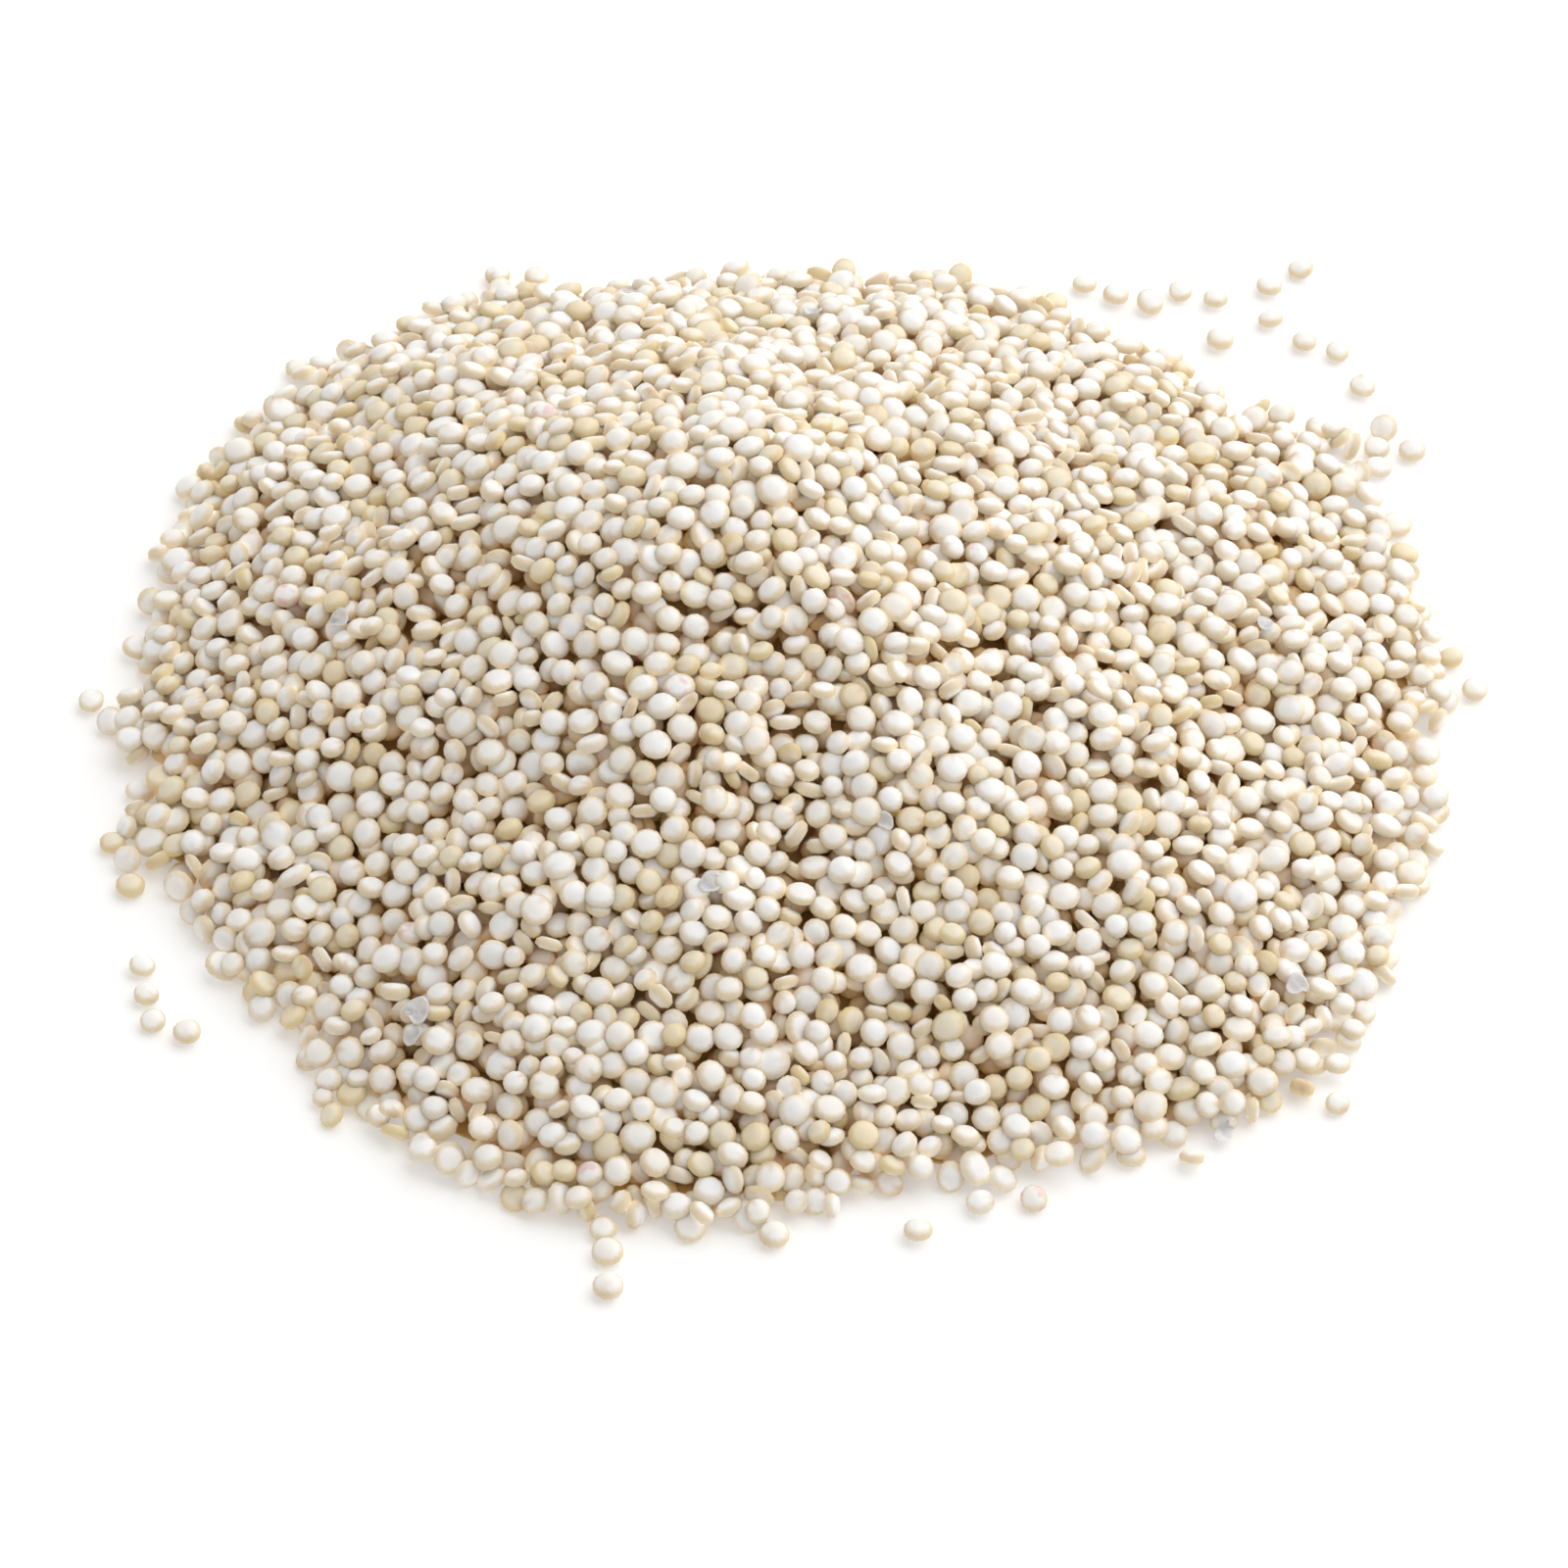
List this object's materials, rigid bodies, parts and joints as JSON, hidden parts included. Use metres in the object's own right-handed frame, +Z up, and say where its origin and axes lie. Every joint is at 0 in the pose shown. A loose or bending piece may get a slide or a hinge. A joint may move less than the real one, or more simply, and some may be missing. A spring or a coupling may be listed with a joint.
{
  "type": "heap of raw quinoa",
  "caption": "Low, broad heap of raw white quinoa seeds lying on a level surface, with a ragged edge and a few stray seeds round it",
  "frame": {"origin": "on the level surface the heap lies on, under the middle of the heap's outline", "axes": "+Z up, +Y away from the side the picture was taken from, +X to the right in the picture"},
  "size_m": [0.1051, 0.1061, 0.0204],
  "materials": {
    "white_quinoa": "matt cream-white dried seeds"
  },
  "bodies": {
    "root": {"quinoa_heap": "white_quinoa", "stray_grain_01": "white_quinoa", "stray_grain_02": "white_quinoa", "stray_grain_03": "white_quinoa", "stray_grain_04": "white_quinoa", "stray_grain_05": "white_quinoa", "stray_grain_06": "white_quinoa", "stray_grain_07": "white_quinoa", "stray_grain_08": "white_quinoa", "stray_grain_09": "white_quinoa", "stray_grain_10": "white_quinoa", "stray_grain_11": "white_quinoa", "stray_grain_12": "white_quinoa", "stray_grain_13": "white_quinoa", "stray_grain_14": "white_quinoa", "stray_grain_15": "white_quinoa", "stray_grain_16": "white_quinoa", "stray_grain_17": "white_quinoa", "stray_grain_18": "white_quinoa", "stray_grain_19": "white_quinoa", "stray_grain_20": "white_quinoa", "stray_grain_21": "white_quinoa", "stray_grain_22": "white_quinoa", "stray_grain_23": "white_quinoa", "stray_grain_24": "white_quinoa", "stray_grain_25": "white_quinoa", "stray_grain_26": "white_quinoa", "stray_grain_27": "white_quinoa"}
  },
  "joints": []
}
